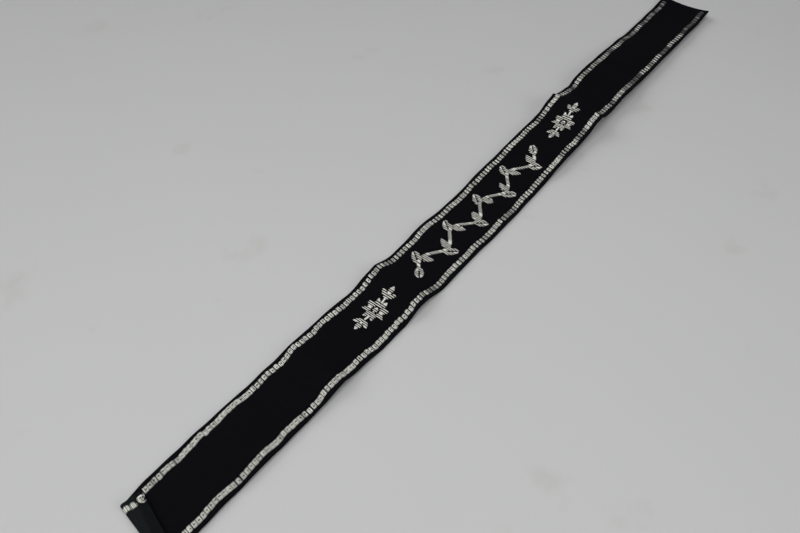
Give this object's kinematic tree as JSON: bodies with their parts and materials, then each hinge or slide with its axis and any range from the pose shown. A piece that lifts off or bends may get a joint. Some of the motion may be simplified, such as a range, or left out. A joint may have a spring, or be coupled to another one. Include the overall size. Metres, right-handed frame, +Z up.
{
  "type": "woven armband",
  "caption": "Narrow woven armband ribbon lying loosely in shallow waves, with metal-thread edge stripes, woven leaf ornament and one turned-over end.",
  "frame": {"origin": "centre of the bounding box in plan, at the height of the surface that the band lies on", "axes": "+X along the band, from the turned-over near end to the cut far end; +Y across it, towards its upper edge; +Z up, out of the front"},
  "size_m": [0.3992, 0.0308, 0.0092],
  "materials": {
    "black_rayon": "matt, finely ribbed black rayon",
    "metal_thread": "silvery flat metal thread, woven",
    "tarnished_thread": "duller metal thread on the reverse"
  },
  "bodies": {
    "root": {"ribbon": "black_rayon", "upper_front_stripe": "metal_thread", "lower_front_stripe": "metal_thread", "upper_back_stripe": "tarnished_thread", "lower_back_stripe": "tarnished_thread", "vine_ornament": "metal_thread", "left_rosette": "metal_thread", "right_rosette": "metal_thread"}
  },
  "joints": []
}
